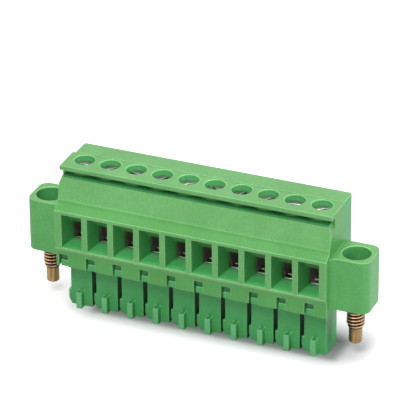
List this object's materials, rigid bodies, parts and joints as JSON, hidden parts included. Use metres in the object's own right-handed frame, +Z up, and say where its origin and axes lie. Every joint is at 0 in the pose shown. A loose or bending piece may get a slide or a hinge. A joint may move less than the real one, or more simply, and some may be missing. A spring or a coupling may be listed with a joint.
{
  "type": "pluggable terminal block",
  "caption": "Green pluggable screw terminal block: conductors enter at the front, clamp screws on top, plug towers below, and a captive screw flange at each end.",
  "frame": {"origin": "middle of the body in plan, on the plane of the plug towers' feet", "axes": "+X along the row of poles, +Y from the conductor side to the rear wall, +Z up towards the clamp screws"},
  "size_m": [0.0494, 0.0094, 0.0215],
  "materials": {
    "housing_green": "fine matt moulded",
    "plug_green": "fine matt moulded",
    "screw_steel": "zinc plated",
    "sleeve_nickel": "nickel plated",
    "contact_tin": "tin plated",
    "flange_screw_copper": "machined"
  },
  "bodies": {
    "housing": {"upper_housing": "housing_green", "plug_housing": "plug_green", "contact_1": "contact_tin", "contact_2": "contact_tin", "contact_3": "contact_tin", "contact_4": "contact_tin", "contact_5": "contact_tin", "contact_6": "contact_tin", "contact_7": "contact_tin", "contact_8": "contact_tin", "contact_9": "contact_tin", "contact_10": "contact_tin"},
    "clamp_screw_1": {"clamp_screw_1": "screw_steel"},
    "clamp_sleeve_1": {"clamp_sleeve_1": "sleeve_nickel"},
    "clamp_screw_2": {"clamp_screw_2": "screw_steel"},
    "clamp_sleeve_2": {"clamp_sleeve_2": "sleeve_nickel"},
    "clamp_screw_3": {"clamp_screw_3": "screw_steel"},
    "clamp_sleeve_3": {"clamp_sleeve_3": "sleeve_nickel"},
    "clamp_screw_4": {"clamp_screw_4": "screw_steel"},
    "clamp_sleeve_4": {"clamp_sleeve_4": "sleeve_nickel"},
    "clamp_screw_5": {"clamp_screw_5": "screw_steel"},
    "clamp_sleeve_5": {"clamp_sleeve_5": "sleeve_nickel"},
    "clamp_screw_6": {"clamp_screw_6": "screw_steel"},
    "clamp_sleeve_6": {"clamp_sleeve_6": "sleeve_nickel"},
    "clamp_screw_7": {"clamp_screw_7": "screw_steel"},
    "clamp_sleeve_7": {"clamp_sleeve_7": "sleeve_nickel"},
    "clamp_screw_8": {"clamp_screw_8": "screw_steel"},
    "clamp_sleeve_8": {"clamp_sleeve_8": "sleeve_nickel"},
    "clamp_screw_9": {"clamp_screw_9": "screw_steel"},
    "clamp_sleeve_9": {"clamp_sleeve_9": "sleeve_nickel"},
    "clamp_screw_10": {"clamp_screw_10": "screw_steel"},
    "clamp_sleeve_10": {"clamp_sleeve_10": "sleeve_nickel"},
    "flange_screw_left": {"flange_screw_left": "flange_screw_copper"},
    "flange_screw_right": {"flange_screw_right": "flange_screw_copper"}
  },
  "joints": [
    {"name": "clamp_screw_1_turn", "type": "hinge", "parent": "housing", "child": "clamp_screw_1", "pos_m": [-0.01715, 0.00015, 0.0196], "axis": [0, 0, -1], "range_deg": [0, 1800]},
    {"name": "clamp_sleeve_1_lift", "type": "slide", "parent": "housing", "child": "clamp_sleeve_1", "axis": [0, 0, 1], "range_m": [0, 0.002]},
    {"name": "clamp_screw_2_turn", "type": "hinge", "parent": "housing", "child": "clamp_screw_2", "pos_m": [-0.01333, 0.00015, 0.0196], "axis": [0, 0, -1], "range_deg": [0, 1800]},
    {"name": "clamp_sleeve_2_lift", "type": "slide", "parent": "housing", "child": "clamp_sleeve_2", "axis": [0, 0, 1], "range_m": [0, 0.002]},
    {"name": "clamp_screw_3_turn", "type": "hinge", "parent": "housing", "child": "clamp_screw_3", "pos_m": [-0.00953, 0.00015, 0.0196], "axis": [0, 0, -1], "range_deg": [0, 1800]},
    {"name": "clamp_sleeve_3_lift", "type": "slide", "parent": "housing", "child": "clamp_sleeve_3", "axis": [0, 0, 1], "range_m": [0, 0.002]},
    {"name": "clamp_screw_4_turn", "type": "hinge", "parent": "housing", "child": "clamp_screw_4", "pos_m": [-0.00571, 0.00015, 0.0196], "axis": [0, 0, -1], "range_deg": [0, 1800]},
    {"name": "clamp_sleeve_4_lift", "type": "slide", "parent": "housing", "child": "clamp_sleeve_4", "axis": [0, 0, 1], "range_m": [0, 0.002]},
    {"name": "clamp_screw_5_turn", "type": "hinge", "parent": "housing", "child": "clamp_screw_5", "pos_m": [-0.00191, 0.00015, 0.0196], "axis": [0, 0, -1], "range_deg": [0, 1800]},
    {"name": "clamp_sleeve_5_lift", "type": "slide", "parent": "housing", "child": "clamp_sleeve_5", "axis": [0, 0, 1], "range_m": [0, 0.002]},
    {"name": "clamp_screw_6_turn", "type": "hinge", "parent": "housing", "child": "clamp_screw_6", "pos_m": [0.00191, 0.00015, 0.0196], "axis": [0, 0, -1], "range_deg": [0, 1800]},
    {"name": "clamp_sleeve_6_lift", "type": "slide", "parent": "housing", "child": "clamp_sleeve_6", "axis": [0, 0, 1], "range_m": [0, 0.002]},
    {"name": "clamp_screw_7_turn", "type": "hinge", "parent": "housing", "child": "clamp_screw_7", "pos_m": [0.00571, 0.00015, 0.0196], "axis": [0, 0, -1], "range_deg": [0, 1800]},
    {"name": "clamp_sleeve_7_lift", "type": "slide", "parent": "housing", "child": "clamp_sleeve_7", "axis": [0, 0, 1], "range_m": [0, 0.002]},
    {"name": "clamp_screw_8_turn", "type": "hinge", "parent": "housing", "child": "clamp_screw_8", "pos_m": [0.00953, 0.00015, 0.0196], "axis": [0, 0, -1], "range_deg": [0, 1800]},
    {"name": "clamp_sleeve_8_lift", "type": "slide", "parent": "housing", "child": "clamp_sleeve_8", "axis": [0, 0, 1], "range_m": [0, 0.002]},
    {"name": "clamp_screw_9_turn", "type": "hinge", "parent": "housing", "child": "clamp_screw_9", "pos_m": [0.01333, 0.00015, 0.0196], "axis": [0, 0, -1], "range_deg": [0, 1800]},
    {"name": "clamp_sleeve_9_lift", "type": "slide", "parent": "housing", "child": "clamp_sleeve_9", "axis": [0, 0, 1], "range_m": [0, 0.002]},
    {"name": "clamp_screw_10_turn", "type": "hinge", "parent": "housing", "child": "clamp_screw_10", "pos_m": [0.01715, 0.00015, 0.0196], "axis": [0, 0, -1], "range_deg": [0, 1800]},
    {"name": "clamp_sleeve_10_lift", "type": "slide", "parent": "housing", "child": "clamp_sleeve_10", "axis": [0, 0, 1], "range_m": [0, 0.002]},
    {"name": "flange_screw_left_turn", "type": "hinge", "parent": "housing", "child": "flange_screw_left", "pos_m": [-0.02225, -0.00025, 0.0094], "axis": [0, 0, -1], "continuous": true},
    {"name": "flange_screw_right_turn", "type": "hinge", "parent": "housing", "child": "flange_screw_right", "pos_m": [0.02225, -0.00025, 0.0094], "axis": [0, 0, -1], "continuous": true}
  ],
  "couplings": [
    {"joint": "clamp_screw_1_turn", "follows": "clamp_sleeve_1_lift", "rad_per_m": 15708},
    {"joint": "clamp_screw_2_turn", "follows": "clamp_sleeve_2_lift", "rad_per_m": 15708},
    {"joint": "clamp_screw_3_turn", "follows": "clamp_sleeve_3_lift", "rad_per_m": 15708},
    {"joint": "clamp_screw_4_turn", "follows": "clamp_sleeve_4_lift", "rad_per_m": 15708},
    {"joint": "clamp_screw_5_turn", "follows": "clamp_sleeve_5_lift", "rad_per_m": 15708},
    {"joint": "clamp_screw_6_turn", "follows": "clamp_sleeve_6_lift", "rad_per_m": 15708},
    {"joint": "clamp_screw_7_turn", "follows": "clamp_sleeve_7_lift", "rad_per_m": 15708},
    {"joint": "clamp_screw_8_turn", "follows": "clamp_sleeve_8_lift", "rad_per_m": 15708},
    {"joint": "clamp_screw_9_turn", "follows": "clamp_sleeve_9_lift", "rad_per_m": 15708},
    {"joint": "clamp_screw_10_turn", "follows": "clamp_sleeve_10_lift", "rad_per_m": 15708}
  ]
}
